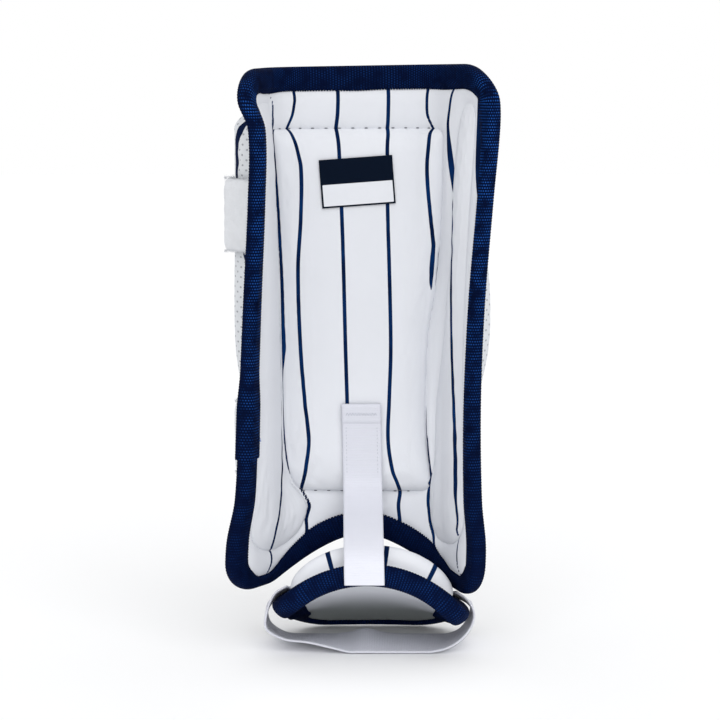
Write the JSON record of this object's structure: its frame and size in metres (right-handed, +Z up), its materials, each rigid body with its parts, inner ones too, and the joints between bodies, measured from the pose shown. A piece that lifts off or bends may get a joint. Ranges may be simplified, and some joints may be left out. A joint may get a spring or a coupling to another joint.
{
  "type": "leg guard",
  "caption": "Padded batter's leg guard: a curved shin shell with a raised inner pad, taped edges, front straps, an arched instep guard that slopes to the toes and an elastic strap under the foot.",
  "frame": {"origin": "middle of the footprint of the bounding box, on the floor", "axes": "+Z up the shin, +Y to the front of the guard, away from the leg, +X to the right seen from the leg side"},
  "size_m": [0.1728, 0.1208, 0.3774],
  "materials": {
    "lining": "smooth white knit lining with thin navy stripes, over foam",
    "mesh": "white perforated mesh with navy stripes, over foam",
    "binding": "navy woven tape",
    "elastic": "white ribbed elastic",
    "loop_pile": "white loop pile",
    "label": "navy and white woven label without words"
  },
  "bodies": {
    "root": {"shin_panel": "lining", "shin_binding": "binding", "center_pad": "lining", "side_pad_left": "lining", "side_pad_right": "lining", "front_pad": "mesh", "upper_strap": "loop_pile", "lower_strap": "loop_pile", "name_label": "label", "ankle_strap": "elastic", "instep_pad": "lining", "instep_binding": "binding", "foot_strap": "elastic"}
  },
  "joints": []
}
